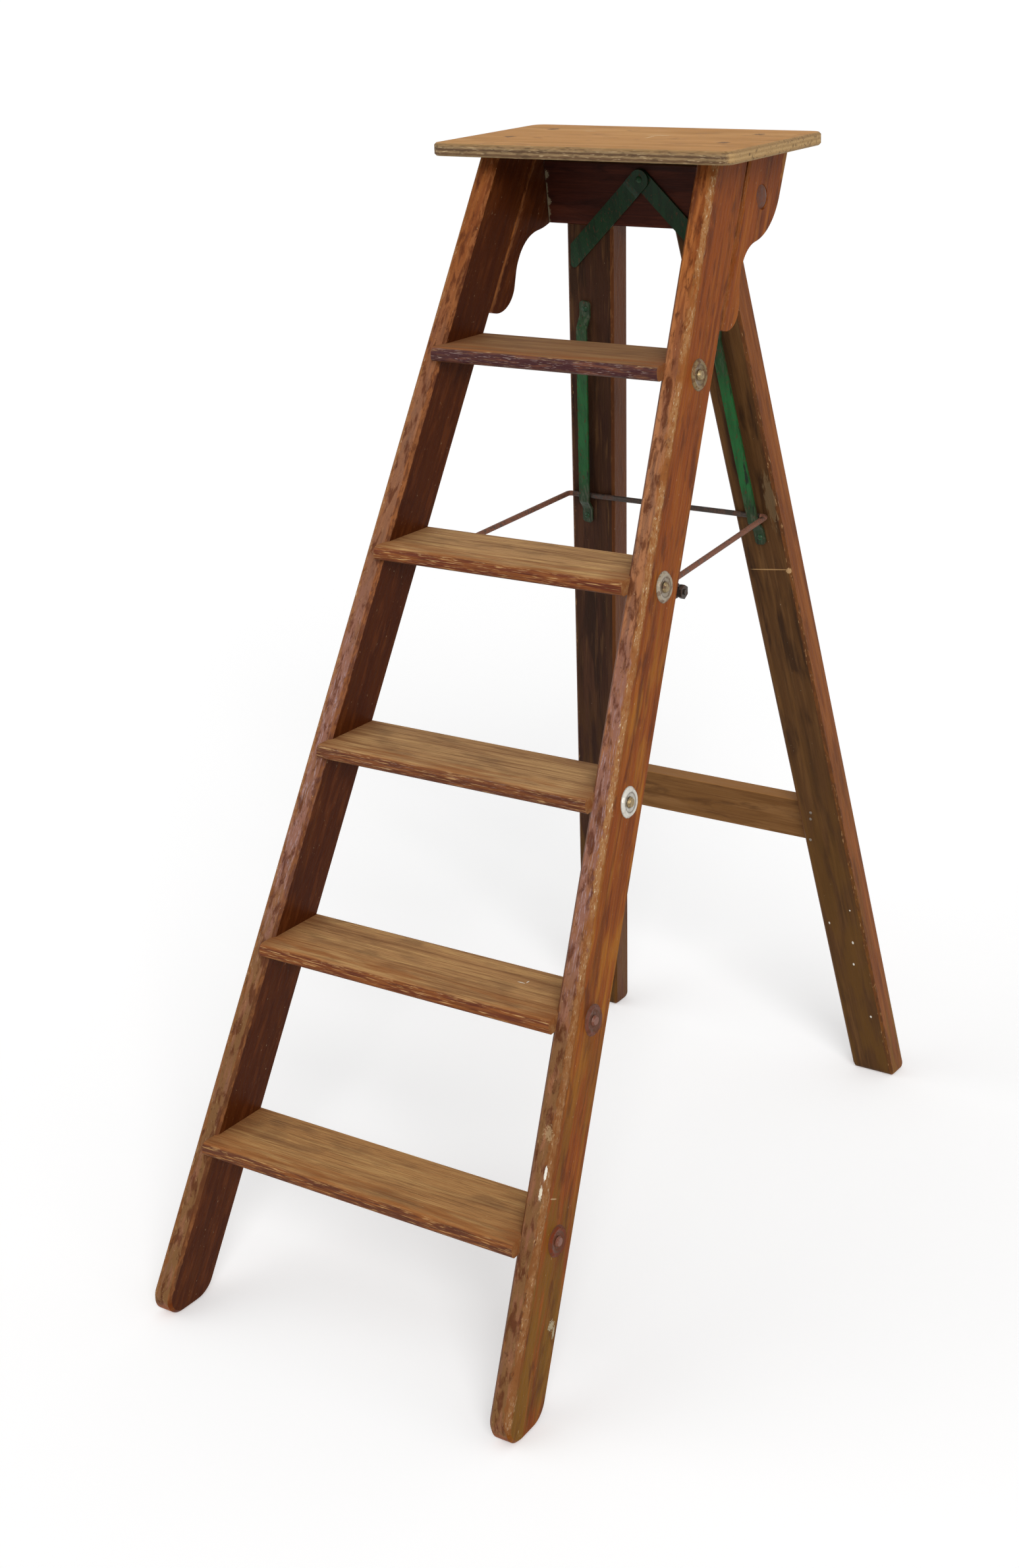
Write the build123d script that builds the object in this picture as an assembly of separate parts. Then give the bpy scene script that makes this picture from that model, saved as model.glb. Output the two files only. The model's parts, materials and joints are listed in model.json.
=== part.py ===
"""Folding wooden step ladder: five housed treads, a plywood platform and a sliding iron stay.

Millimetres, +Z up, the treads face -Y, origin on the floor under the middle of the open ladder.
Two sloping frames carry the model:
  front frame: x across, d behind the stiles' front faces, s up the slope from the toe line
  rear frame:  x across, d behind the pivot axis, s up the leg from the pivot axis
"""
from build123d import *
import os
from math import cos, radians, sin, tan

# ---------------------------------------------------------------- driving sizes
# platform, plywood
platform_height = 1409.0        # top face above the floor
platform_width = 438.0
platform_depth = 256.0
platform_thick = 16.0
platform_corner = 18.0
platform_edge = 2.5             # softened edge all round
platform_overhang = 51.5        # in front of the stiles

# stiles
stile_rake = 27.3               # degrees back from upright
stile_splay = 3.83              # degrees inward going up
stile_depth = 80.0
stile_thick = 29.0
stile_foot_half = 250.0         # inner face to the middle, at the floor
stile_arris = 4.0               # chamfer on the long edges and round the foot
toe_radius = 26.0
heel_radius = 36.0

# treads
tread_count = 5
tread_pitch = 235.0
first_tread = 226.5             # top of the lowest tread above the floor
tread_thick = 19.0
tread_nosing = 23.5             # in front of the stiles, level with the tread's top
tread_setback = 2.8             # the tread stops this short of the stiles' rear edges
tread_housing = 4.0             # let into each stile
nosing_top_radius = 8.0
nosing_bottom_radius = 6.0

# tie rods and cup washers under the treads
tie_sides = 18                  # flats that stand for these small round irons
tie_diameter = 8.0
tie_depth = 42.0                # behind the stiles' front faces
tie_clearance = 0.3
tie_head_diameter = 14.0
tie_head_top = 10.5             # the button tapers to this
tie_head_height = 3.0
cup_diameter = 40.0
cup_crest_diameter = 33.0
cup_height = 3.2
cup_floor = 1.0                 # thickness round the bore
cup_bore_clearance = 0.8

# cheeks behind the stiles' heads, measured down the slope from the underside of the platform
cheek_reach = 99.6              # behind the stile, at the top
cheek_belly = 94.0              # behind the stile, where the straight back would end
cheek_belly_drop = 67.5
cheek_belly_radius = 98.0
cheek_waist = 27.0              # behind the stile
cheek_waist_top = 112.7
cheek_waist_bottom = 154.0
cheek_cove_radius = 54.0
cheek_nose = 50.6               # behind the stile, before it is rounded
cheek_nose_radius = 36.0
cheek_length = 226.8

# pivot of the rear frame
pivot_drop = 57.0               # below the platform's underside
pivot_back = 50.0               # behind the stiles' rear edges
pivot_shank = 12.0
pivot_running_fit = 0.1
pivot_head_diameter = 30.0
pivot_head_height = 4.0
pivot_grip = 55.0               # length held in the board's end
spotface_clearance = 0.8
spotface_least = 0.5

# rear frame
leg_rake = 10.4                 # degrees forward from upright when open
leg_splay = 7.0                 # degrees inward going up
leg_foot_width = 65.5
leg_head_width = 71.5           # at the pivot
leg_thick = 40.0
leg_foot_half = 279.5           # outer face to the middle, at the floor
leg_arris = 3.5
leg_heel_radius = 10.0
board_thick = 22.0
board_below = 44.0              # below the pivot
board_above = 40.0
board_end_gap = 2.5             # to the cheeks
board_arris = 2.0
rail_top = 456.0                # up the leg from the floor
rail_height = 64.0
rail_thick = 22.5
rail_lap = 38.0                 # let into each leg's back
rail_arris = 2.0

# flat iron braces between board and legs
brace_width = 26.0
brace_thick = 3.0
brace_rise = 21.5               # top screw above the pivot
brace_shift = 6.0               # top screw to the right of the middle
left_brace_angle = 42.6         # degrees below level
right_brace_angle = 47.0
brace_trim = 8.0                # ends stop this far inside the legs' outer edges
brace_corner = 5.0
brace_joggle = 10.0
brace_joggle_gap = 1.5          # from the lower bar to the start of the joggle

# flat iron guides on the legs
guide_width = 16.0
guide_thick = 3.0
left_guide_inset = 28.0         # middle of a guide to the leg's outer edge
right_guide_inset = 36.0
guide_foot = 22.0
guide_joggle = 15.0
guide_corner = 5.0

# sliding stay, round iron
stay_diameter = 7.5
stay_play = 1.0                 # bar to guide and bar to leg
stay_bar_drop = 437.0           # bar down the leg from the pivot when open
stay_travel = 236.0             # up the legs when folded
stay_play_below = 3.0           # bar to the guides' lower joggles
stay_play_above = 11.0          # raised bar to their upper joggles
stay_bend_inset = 9.0           # from the legs' outer edges to the bar's bends, on average
stay_shift = -10.0              # the bar sits this far to the left
stay_bend = 5.0                 # radius on the middle line
stay_lead = 8.0                 # from each bend's corner to the arm's own end
stay_seam = 0.1                 # between bar and arms, arms and end pins
stay_arm_sides = 12             # flats round the bent arms
eye_tread = 4                   # the eyes sit below this tread, counted from the lowest
eye_below = 20.5                # below that tread's underside
eye_back = 19.0                 # ring's middle behind the stile's rear edge
eye_wire = 6.0
eye_sides = 6                   # flats round the wire
eye_play = 0.5
eye_screw = 25.0                # held in the stile
eye_to_arm = 21.0               # sideways, ring's middle to the arm's middle
nut_flats = 16.0
nut_thick = 6.0
nut_gap = 4.0                   # ring to nut
pin_tail = 2.0                  # beyond the nut

# ---------------------------------------------------------------- worked-out places
rake = radians(stile_rake)
splay = radians(stile_splay)
lean = radians(leg_rake)
leg_in = radians(leg_splay)
far = 400.0                     # beyond every board's width and depth
tall = 3 * platform_height
underside = platform_height - platform_thick
leg_face = board_thick / 2      # legs' front faces lie this far in front of the pivot
stay_radius = stay_diameter / 2


def run_at(depth, height):
    """Distance behind the toe line of a point this deep in the front frame, this high."""
    return (depth + height * sin(rake)) / cos(rake)


def slope_at(depth, height):
    """Distance up the slope of a point this deep in the front frame, this high."""
    return (height + depth * sin(rake)) / cos(rake)


def inner_x(slope):
    """Half the width between the stiles."""
    return stile_foot_half - tan(splay) * slope


def outer_x(slope):
    return inner_x(slope) + stile_thick / cos(splay)


pivot_z = underside - pivot_drop
pivot_depth = stile_depth + pivot_back
pivot_run = run_at(pivot_depth, pivot_z)
pivot_slope = slope_at(pivot_depth, pivot_z)

toe_front = toe_radius * ((1 + sin(rake)) / cos(rake) - 1)
heel_line = pivot_run + pivot_z * tan(lean) + (leg_thick - leg_face) / cos(lean)
heel_back = heel_line - leg_heel_radius * ((1 + sin(lean)) / cos(lean) - 1)
toe_y = -(toe_front + heel_back) / 2       # puts the origin under the middle
pivot_y = toe_y + pivot_run

front = Pos(0, toe_y, 0) * Rot(X=-stile_rake)
rear = Pos(0, pivot_y, pivot_z) * Rot(X=leg_rake)
rear_depth = Axis((0, 0, 0), (0, cos(lean), sin(lean)))
floor_s = -(pivot_z - leg_face * sin(lean)) / cos(lean)


def leg_outer_x(rise):
    """Half the width over the legs at this distance up the leg from the pivot."""
    return leg_foot_half - tan(leg_in) * (rise - floor_s)


def leg_width(rise):
    return leg_head_width - (leg_head_width - leg_foot_width) * rise / floor_s


def mirrored(shape):
    return mirror(shape, about=Plane.YZ)


def both_sides(shape):
    return [shape, mirrored(shape)]


def stile_slab(offset, thick):
    """Right-hand slab parallel to the stile, starting this far outside its inner face."""
    slab = Box(thick, 2 * far, tall, align=(Align.MIN, Align.CENTER, Align.CENTER))
    return front * Pos(stile_foot_half, 0, 0) * Rot(Y=-stile_splay) * Pos(offset, 0, 0) * slab


def leg_frame(inset, side=1):
    """Frame on a leg's front face, its z running up the leg this far inside the outer edge."""
    x = leg_outer_x(0) - inset / cos(leg_in)
    return rear * Pos(side * x, -leg_face, 0) * Rot(Y=-side * leg_splay)


def rounded_outline(points, radii):
    """Closed outline in the side view, each corner with its own radius, 0 for a sharp one."""
    outline = Plane.YZ * Polygon(*points, align=None)
    for (y, z), radius in zip(points, radii):
        if radius:
            corner = outline.vertices().sort_by_distance(Vector(0, y, z))[0]
            outline = fillet(corner, radius)
    return outline


def eased(board, size):
    """Chamfers both side faces of a standing board all round, except at its head."""
    sides = [face for face in board.faces() if abs(face.normal_at().X) > 0.9]
    return chamfer([edge for side in sides for edge in side.edges().sort_by(Axis.Z)[:-1]], size)


def across(outline):
    """The side view carried right across the ladder."""
    return extrude(outline, amount=far, both=True, dir=(1, 0, 0))


def rod_along_x(radius, x_from, x_to, y, z):
    return Pos((x_from + x_to) / 2, y, z) * Rot(Y=90) * Cylinder(radius, x_to - x_from)


def frustum(low_radius, high_radius, height):
    """Upright many-sided cone or rod standing on z = 0."""
    low = RegularPolygon(low_radius, tie_sides)
    return loft([low, Pos(0, 0, height) * RegularPolygon(high_radius, tie_sides)], ruled=True)


def tie_along_x(radius, x_from, x_to, y, z):
    return Pos(x_from, y, z) * Rot(Y=90) * frustum(radius, radius, x_to - x_from)


def dome(diameter, height):
    """Cap of a ball standing on z = 0."""
    ball = (diameter ** 2 / 4 + height ** 2) / (2 * height)
    keep = Box(diameter, diameter, height, align=(Align.CENTER, Align.CENTER, Align.MIN))
    return (Pos(0, 0, height - ball) * Sphere(ball)) & keep


# ---------------------------------------------------------------- treads and their tie rods
tread_tops = [first_tread + tread_pitch * i for i in range(tread_count)]
cup_bore = tie_diameter / 2 + cup_bore_clearance


def tie_place(top):
    """Side-view place of the rod half let into a tread's underside."""
    z = top - tread_thick
    return toe_y + run_at(tie_depth, z), z


def make_tread(top):
    bottom = top - tread_thick
    nose = toe_y + run_at(0, top) - tread_nosing
    back = toe_y + run_at(stile_depth, top) - tread_setback
    points = [(nose, bottom), (back, bottom), (back, top), (nose, top)]
    radii = [nosing_bottom_radius, 0, 0, nosing_top_radius]
    end = stile_slab(tread_housing, far)
    groove = tie_along_x(tie_diameter / 2 + tie_clearance, -far, far, *tie_place(top))
    return across(rounded_outline(points, radii)) - end - mirrored(end) - groove


def tie_seat(top):
    """Where a rod's button bears on the slope of its cup washer."""
    y, z = tie_place(top)
    button = tie_head_diameter / 2
    slope = (cup_height - cup_floor) / (cup_crest_diameter / 2 - cup_bore)
    bearing = (cup_floor + slope * (button - cup_bore)) / cos(splay)
    return outer_x(slope_at(tie_depth, z)) + bearing + button * tan(splay)


def make_tie_rod(top):
    y, z = tie_place(top)
    end = tie_seat(top)
    button = frustum(tie_head_diameter / 2, tie_head_top / 2, tie_head_height)
    head = Pos(end, y, z) * Rot(Y=90) * button
    return tie_along_x(tie_diameter / 2, -end, end, y, z) + head + mirrored(head)


def make_cup_washer(top):
    """Dished cup, flat on the stile's outer face."""
    y, z = tie_place(top)
    crest = cup_crest_diameter / 2
    cup = frustum(cup_diameter / 2, crest, cup_height) - frustum(cup_bore, cup_bore, cup_floor)
    cup = cup - Pos(0, 0, cup_floor) * frustum(cup_bore, crest, cup_height - cup_floor)
    place = front * Pos(outer_x(slope_at(tie_depth, z)), tie_depth, slope_at(tie_depth, z))
    return place * Rot(Y=-stile_splay) * Rot(Y=90) * cup


treads = [make_tread(top) for top in tread_tops]
tie_rods = [make_tie_rod(top) for top in tread_tops]
cup_washers = [cup for top in tread_tops for cup in both_sides(make_cup_washer(top))]

# ---------------------------------------------------------------- screw eyes for the stay
eye_height = tread_tops[eye_tread - 1] - tread_thick - eye_below
eye_y = toe_y + run_at(stile_depth + eye_back, eye_height)
eye_slope = slope_at(stile_depth + eye_back, eye_height)
eye_x = inner_x(eye_slope) + stile_thick / 2
eye_ring = stay_radius + eye_play + eye_wire / 2


def make_eye():
    """Ring round the stay's end, its shank screwed into the stile's rear edge."""
    section = Plane.XZ * Pos(eye_ring, 0) * RegularPolygon(eye_wire / 2, eye_sides, major_radius=False)
    ring = Rot(Y=90) * revolve(section, axis=Axis.Z)
    length = eye_back - eye_ring + eye_screw
    shank = Rot(X=90) * Cylinder(eye_wire / 2, length, align=(Align.CENTER, Align.CENTER, Align.MIN))
    return front * Pos(eye_x, stile_depth + eye_back, eye_slope) * (ring + Pos(0, -eye_ring, 0) * shank)


stay_eye = make_eye()

# ---------------------------------------------------------------- stiles
stile_outline = rounded_outline(
    [(toe_y, 0), (toe_y + run_at(stile_depth, 0), 0),
     (toe_y + run_at(stile_depth, underside), underside), (toe_y + run_at(0, underside), underside)],
    [toe_radius, heel_radius, 0, 0])


def make_stile():
    bar = Box(stile_thick, stile_depth, tall, align=(Align.MIN, Align.MIN, Align.CENTER))
    bar = front * Pos(stile_foot_half, 0, 0) * Rot(Y=-stile_splay) * bar
    stile = eased(bar & across(stile_outline), stile_arris)
    for top, tread in zip(tread_tops, treads):
        hole = tie_along_x(tie_diameter / 2 + tie_clearance, 0, far, *tie_place(top))
        stile = stile - tread - hole
    return stile - stay_eye


# ---------------------------------------------------------------- cheeks and pivot bolts
head_slope = slope_at(stile_depth, underside)
seat_x = outer_x(pivot_slope + pivot_head_diameter / 2 + spotface_clearance) - spotface_least


def make_cheek():
    """Shaped bracket flush with the stile, carrying the rear frame's pivot."""
    waist_depth = stile_depth + cheek_waist
    back_depth = stile_depth + cheek_reach
    places = [
        (stile_depth, head_slope, 0),
        (back_depth, slope_at(back_depth, underside), 0),
        (stile_depth + cheek_belly, head_slope - cheek_belly_drop, cheek_belly_radius),
        (waist_depth, head_slope - cheek_waist_top, cheek_cove_radius),
        (waist_depth, head_slope - cheek_waist_bottom, cheek_cove_radius),
        (stile_depth + cheek_nose, head_slope - cheek_length, cheek_nose_radius),
        (stile_depth, head_slope - cheek_length, 0),
    ]
    points = [(toe_y + d * cos(rake) + s * sin(rake), s * cos(rake) - d * sin(rake))
              for d, s, r in places]
    cheek = across(rounded_outline(points, [r for d, s, r in places]))
    cheek = cheek & stile_slab(0, stile_thick)
    hole = rod_along_x(pivot_shank / 2 + pivot_running_fit, 0, far, pivot_y, pivot_z)
    face = rod_along_x(pivot_head_diameter / 2 + spotface_clearance, seat_x, far, pivot_y, pivot_z)
    return cheek - hole - face


def make_pivot_bolt():
    end = inner_x(pivot_slope) - board_end_gap - pivot_grip
    shank = rod_along_x(pivot_shank / 2, end, seat_x + pivot_head_height / 2, pivot_y, pivot_z)
    head = Pos(seat_x, pivot_y, pivot_z) * Rot(Y=90) * dome(pivot_head_diameter, pivot_head_height)
    return shank + head


stile = make_stile()
cheek = make_cheek()
pivot_bolt = make_pivot_bolt()

# ---------------------------------------------------------------- platform
platform_front = toe_y + run_at(0, underside) - platform_overhang


def make_platform():
    top = Box(platform_width, platform_depth, platform_thick,
              align=(Align.CENTER, Align.MIN, Align.MIN))
    top = fillet(top.edges().filter_by(Axis.Z), platform_corner)
    rims = top.faces().sort_by(Axis.Z)
    top = chamfer(rims[0].edges() + rims[-1].edges(), platform_edge)
    return Pos(0, platform_front, underside) * top


# ---------------------------------------------------------------- rear frame timber
def board_box(thick_from, thick_to):
    height = board_above + board_below
    box = Box(2 * far, thick_to - thick_from, height, align=(Align.CENTER, Align.MIN, Align.MIN))
    return Pos(0, thick_from, -board_below) * box


def make_board():
    board = board_box(-leg_face, leg_face)
    board = rear * fillet(board.edges().filter_by(Axis.X), board_arris)
    end = stile_slab(-board_end_gap, far)
    hole = rod_along_x(pivot_shank / 2, 0, far, pivot_y, pivot_z)
    return board - end - mirrored(end) - pivot_bolt - mirrored(pivot_bolt)


rail_s = floor_s + rail_top - rail_height


def rail_box():
    rail = Box(2 * far, rail_thick, rail_height, align=(Align.CENTER, Align.MAX, Align.MIN))
    rail = fillet(rail.edges().filter_by(Axis.X), rail_arris)
    return rear * Pos(0, leg_thick - leg_face, rail_s) * rail


def make_rail():
    """Stops where its laps end inside the legs."""
    end = Box(far, 2 * far, tall, align=(Align.MIN, Align.CENTER, Align.CENTER))
    end = leg_frame(leg_width(rail_s) - rail_lap) * end
    return rail_box() - end - mirrored(end)


rail = make_rail()


def make_leg():
    """Tapering in towards the top, notched at the front for the board and behind for the rail."""
    heel = leg_thick - leg_face
    bar = Plane.XZ * Polygon((0, -tall), (0, tall), (-leg_width(tall), tall), (-leg_width(-tall), -tall),
                             align=None)
    bar = leg_frame(0) * extrude(bar, amount=-leg_thick)
    top_front = (pivot_y - leg_face * cos(lean) - board_above * sin(lean),
                 pivot_z + board_above * cos(lean) - leg_face * sin(lean))
    top_back = (pivot_y + heel * cos(lean) - board_above * sin(lean),
                pivot_z + board_above * cos(lean) + heel * sin(lean))
    toe = (pivot_y + pivot_z * tan(lean) - leg_face / cos(lean), 0)
    foot = (toe_y + heel_line, 0)
    outline = rounded_outline([toe, foot, top_back, top_front],
                              [leg_heel_radius, leg_heel_radius, 0, 0])
    notch = rear * board_box(-leg_thick, leg_face)
    return eased(bar & across(outline), leg_arris) - notch - rail


leg = make_leg()

# ---------------------------------------------------------------- flat iron braces
def brace_frame(side):
    turn = right_brace_angle if side > 0 else 180 - left_brace_angle
    return rear * Pos(brace_shift, -leg_face, brace_rise) * Rot(Y=turn)


def make_brace(side):
    """Bar from the board's middle to a leg; the left one is joggled over the right one."""
    half = brace_width / 2
    lift = brace_thick if side < 0 else 0
    start = half + brace_joggle_gap
    stop = start + brace_joggle
    points = [(-half, -lift), (start, -lift), (stop, 0), (far, 0),
              (far, -brace_thick), (stop, -brace_thick), (start, -lift - brace_thick),
              (-half, -lift - brace_thick)]
    bar = extrude(Polygon(*points, align=None), amount=half, both=True)
    corner = Box(half, far, 2 * brace_width, align=(Align.MAX, Align.CENTER, Align.CENTER))
    bar = bar - (corner - Rot(X=90) * Cylinder(half, far))
    bar = brace_frame(side) * bar
    outside = leg_frame(brace_trim, side) * Box(
        2 * far, far, tall, align=(Align.MIN if side > 0 else Align.MAX, Align.CENTER, Align.CENTER))
    bar = bar - outside
    tip = bar.edges().filter_by(rear_depth).sort_by(Axis.Z)[:2]
    return fillet(tip, brace_corner)


left_brace = make_brace(-1)
right_brace = make_brace(1)

# ---------------------------------------------------------------- flat iron guides
slot_depth = stay_diameter + 2 * stay_play
slot_bottom = -(stay_bar_drop + stay_radius + stay_play_below) / cos(leg_in)
slot_top = -(stay_bar_drop - stay_travel - stay_radius - stay_play_above) / cos(leg_in)


def make_guide():
    """Strap standing off the leg between two feet, on its own frame's yz plane."""
    miter = guide_thick * slot_depth / (guide_joggle + (guide_joggle ** 2 + slot_depth ** 2) ** 0.5)
    low = slot_bottom - guide_joggle
    high = slot_top + guide_joggle
    points = [(0, low - guide_foot), (0, low), (-slot_depth, slot_bottom),
              (-slot_depth, slot_top), (0, high), (0, high + guide_foot),
              (-guide_thick, high + guide_foot), (-guide_thick, high + miter),
              (-slot_depth - guide_thick, slot_top + miter),
              (-slot_depth - guide_thick, slot_bottom - miter),
              (-guide_thick, low - miter), (-guide_thick, low - guide_foot)]
    outer, inner = guide_thick * 1.5, guide_thick * 0.5
    radii = [0, outer, inner, inner, outer, 0, 0, inner, outer, outer, inner, 0]
    strap = extrude(rounded_outline(points, radii), amount=guide_width / 2, both=True, dir=(1, 0, 0))
    return fillet(strap.edges().filter_by(Axis.Y), guide_corner)


guide_strap = make_guide()
left_guide = leg_frame(left_guide_inset, -1) * guide_strap
right_guide = leg_frame(right_guide_inset) * guide_strap


# ---------------------------------------------------------------- sliding stay
bar_depth = -leg_face - stay_play - stay_radius
bar_y = pivot_y + bar_depth * cos(lean) + stay_bar_drop * sin(lean)
bar_z = pivot_z - stay_bar_drop * cos(lean) + bar_depth * sin(lean)
arm_x = eye_x - eye_to_arm
stay_half = leg_outer_x(-stay_bar_drop) - stay_bend_inset
pin_x = arm_x + stay_lead


def bar_end(side):
    return stay_shift + side * (stay_half - stay_lead)


def make_arm(side):
    """Bent rod from the sliding bar's end to the pin in the screw eye."""
    path = FilletPolyline(
        (bar_end(side) + side * stay_seam, bar_y, bar_z),
        (stay_shift + side * stay_half, bar_y, bar_z),
        (side * arm_x, eye_y, eye_height),
        (side * pin_x, eye_y, eye_height), radius=stay_bend)
    section = Plane(origin=path @ 0, z_dir=path % 0) * RegularPolygon(stay_radius, stay_arm_sides)
    return sweep(section, path=path)


def hexagon_nut():
    nut = extrude(RegularPolygon(nut_flats / 2, 6, major_radius=False), amount=nut_thick)
    return Rot(Y=90) * nut


nut_x = eye_x + eye_wire / 2 + nut_gap
stay_pin = rod_along_x(stay_radius, pin_x + stay_seam, nut_x + nut_thick + pin_tail, eye_y, eye_height)
stay_nut = Pos(nut_x, eye_y, eye_height) * hexagon_nut() - stay_pin
stay_bar = rod_along_x(stay_radius, bar_end(-1), bar_end(1), bar_y, bar_z)

# ---------------------------------------------------------------- named pieces
nodes = {
    "left_stile": mirrored(stile),
    "right_stile": stile,
    "left_cheek": mirrored(cheek),
    "right_cheek": cheek,
    "platform": make_platform(),
    "tie_rods": tie_rods,
    "cup_washers": cup_washers,
    "pivot_bolts": both_sides(pivot_bolt),
    "top_board": make_board(),
    "left_rear_leg": mirrored(leg),
    "right_rear_leg": leg,
    "rear_rail": rail,
    "left_brace": left_brace,
    "right_brace": right_brace,
    "left_guide": left_guide,
    "right_guide": right_guide,
    "stay_crossbar": stay_bar,
    "left_stay_arm": make_arm(-1),
    "right_stay_arm": make_arm(1),
    "stay_eyes": both_sides(stay_eye),
    "stay_end_pins": both_sides(stay_pin),
    "stay_nuts": both_sides(stay_nut),
}
for number, tread in enumerate(treads, start=1):
    nodes[f"tread_{number}"] = tread


def solids_of(shapes):
    shapes = shapes if isinstance(shapes, list) else [shapes]
    return [solid for shape in shapes for solid in shape.solids()]


os.makedirs("parts", exist_ok=True)
for name, shapes in nodes.items():
    solids = solids_of(shapes)
    body = solids[0] if len(solids) == 1 else Compound(children=solids)
    body.label = name
    export_step(body, f"parts/{name}.step")
    print(name, len(solids), round(sum(s.volume for s in solids)))
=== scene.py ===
import json
import math

import bmesh
import bpy
from mathutils import Euler, Matrix, Vector


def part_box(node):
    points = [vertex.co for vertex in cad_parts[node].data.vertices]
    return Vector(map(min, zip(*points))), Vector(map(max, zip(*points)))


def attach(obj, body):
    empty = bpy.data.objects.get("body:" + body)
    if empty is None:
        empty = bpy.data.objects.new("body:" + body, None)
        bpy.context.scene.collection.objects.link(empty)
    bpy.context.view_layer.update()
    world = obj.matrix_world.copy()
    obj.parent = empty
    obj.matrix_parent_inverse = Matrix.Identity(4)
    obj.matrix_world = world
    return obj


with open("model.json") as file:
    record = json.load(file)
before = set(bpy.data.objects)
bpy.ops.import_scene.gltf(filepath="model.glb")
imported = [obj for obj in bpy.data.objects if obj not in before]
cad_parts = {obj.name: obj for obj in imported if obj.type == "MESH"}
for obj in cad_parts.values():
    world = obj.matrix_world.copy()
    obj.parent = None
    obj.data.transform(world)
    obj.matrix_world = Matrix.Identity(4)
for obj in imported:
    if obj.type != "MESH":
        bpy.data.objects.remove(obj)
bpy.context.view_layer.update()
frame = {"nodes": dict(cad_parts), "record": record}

bl_info = {
    "name": "Wooden Step Ladder Look",
    "version": (1, 1, 0),
    "blender": (4, 5, 0),
    "location": "View3D > Sidebar > Step Ladder",
    "description": "Timber, iron, small screws and studio for the folding step ladder",
    "category": "Object",
}

MM = 0.001

# ------------------------------------------------------------------ the ladder's own axes
JOINTS = {joint["name"]: joint for joint in frame["record"]["behaviour"]["joints"]}
PIVOT = Vector(JOINTS["fold"]["pos_m"])
LEG_UP = Vector(JOINTS["stay_slide"]["axis"]).normalized()
LEG_BACK = LEG_UP.cross(Vector((1, 0, 0))).normalized()
LEAN = math.atan2(-LEG_UP.y, LEG_UP.z)  # of the legs, from upright
RAKE = math.radians(JOINTS["fold"]["range_deg"][1]) - LEAN  # of the stiles, from upright
LEG_SPLAY = math.radians(7.0)
STILE_SPLAY = math.radians(3.83)
ACROSS = math.radians(90)  # stands the grain of a board that lies across the ladder upright
CHEEK_START = 1316  # mm along the stile from its foot to the cheek's lower end

# ------------------------------------------------------------------ materials
SEED_STEP = 1.37  # between one noise and the next, so that no two are alike
COAT_IOR = 1.5  # of varnish, oil and enamel
PAINT_FULL, PAINT_GONE = 500, 560  # mm above the floor, of the paint on the lower rod ends
CUP_PITCHES = 4  # between the five cups of a stile

# Marks on one piece: colour, cover, place in mm on its own axes, width, length, raggedness.
STILE_CHIPS = (
    ("#E6E0D2", 0.95, (22.5, 0, 318), 3.6, 17, 0.5), ("#DDD2BC", 0.9, (20, 0, 294), 4.2, 16, 0.8),
    ("#A98C68", 0.6, (17, 0, 365), 12, 14, 1.4), ("#B2A587", 0.8, (29, 62, 137), 12, 11, 1.2),
    ("#B2A587", 0.8, (29, 70, 128), 5, 13, 0.9), ("#C9AE86", 0.7, (29, 17, 289), 14, 1.6, 0.4))
LEG_CHIPS = (
    ("#B08A5C", 0.8, (40, 0, 853), 60, 1.6, 0.3), ("#B89468", 0.8, (69, 0, 851), 8, 8, 0.6),
    ("#6E5A40", 0.6, (62, 0, 955), 14, 70, 0.8), ("#D8D4C8", 0.9, (50, 0, 245), 3, 5, 0.3),
    ("#D8D4C8", 0.9, (56, 0, 302), 2.5, 2.5, 0.3), ("#D8D4C8", 0.9, (17, 0, 276), 2.5, 4, 0.3),
    ("#D8D4C8", 0.9, (44, 0, 206), 3, 4, 0.3), ("#D8D4C8", 0.9, (55, 0, 113), 3, 4, 0.3))
BOARD_SMEARS = (
    ("#8A7F66", 0.8, (66, 0, 286), 10, 9, 0.9), ("#8A7F66", 0.8, (30, 0, 287), 8, 8, 0.9))
TREAD_CHALK = (
    ("#E2D8C4", 0.85, (19, 72, 86), 2.0, 11, 0.5), ("#E2D8C4", 0.85, (19, 77, 80), 6, 2.0, 0.5))

# Treads from the lowest up: top, rubbed top, nosing paint, gloss of the nosing (it also sets the
# nosing's painted highlights), marks.
TREADS = (
    ("#B28250", "#C69A62", "#5A3220", 0.1, ()), ("#B68858", "#CCA068", "#66341E", 0.1, TREAD_CHALK),
    ("#B48A5C", "#CCA26C", "#5A301C", 0.32, ()), ("#BE9262", "#D2A86E", "#64301C", 0.15, ()),
    # top tread: its darker top and rubbed top are painted shade of the platform above
    ("#8E6640", "#A67E52", "#3A1216", 0.85, ()))

# ------------------------------------------------------------------ small pieces
ON_LEVEL = 0.5 * MM  # how near a height a point counts as on it
GUIDE_FOOT = 12 * MM  # length of the guides' ends that lie on the legs
GUIDE_SCREW_INSET = 11 * MM  # from the guides' ends
BRACE_SCREW_ACROSS, BRACE_SCREW_DOWN = 6 * MM, 13 * MM  # from the middle, from the braces' top
RAIL_NAILS = ((176, 2), (175, 13), (172, 49))  # mm from the middle, mm below the rail's top
NAIL_SIDES = 24
NAIL_RINGS = ((0.50, -0.10), (0.50, 0.05), (0.44, 0.11), (0.25, 0.15))  # radius and height

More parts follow.
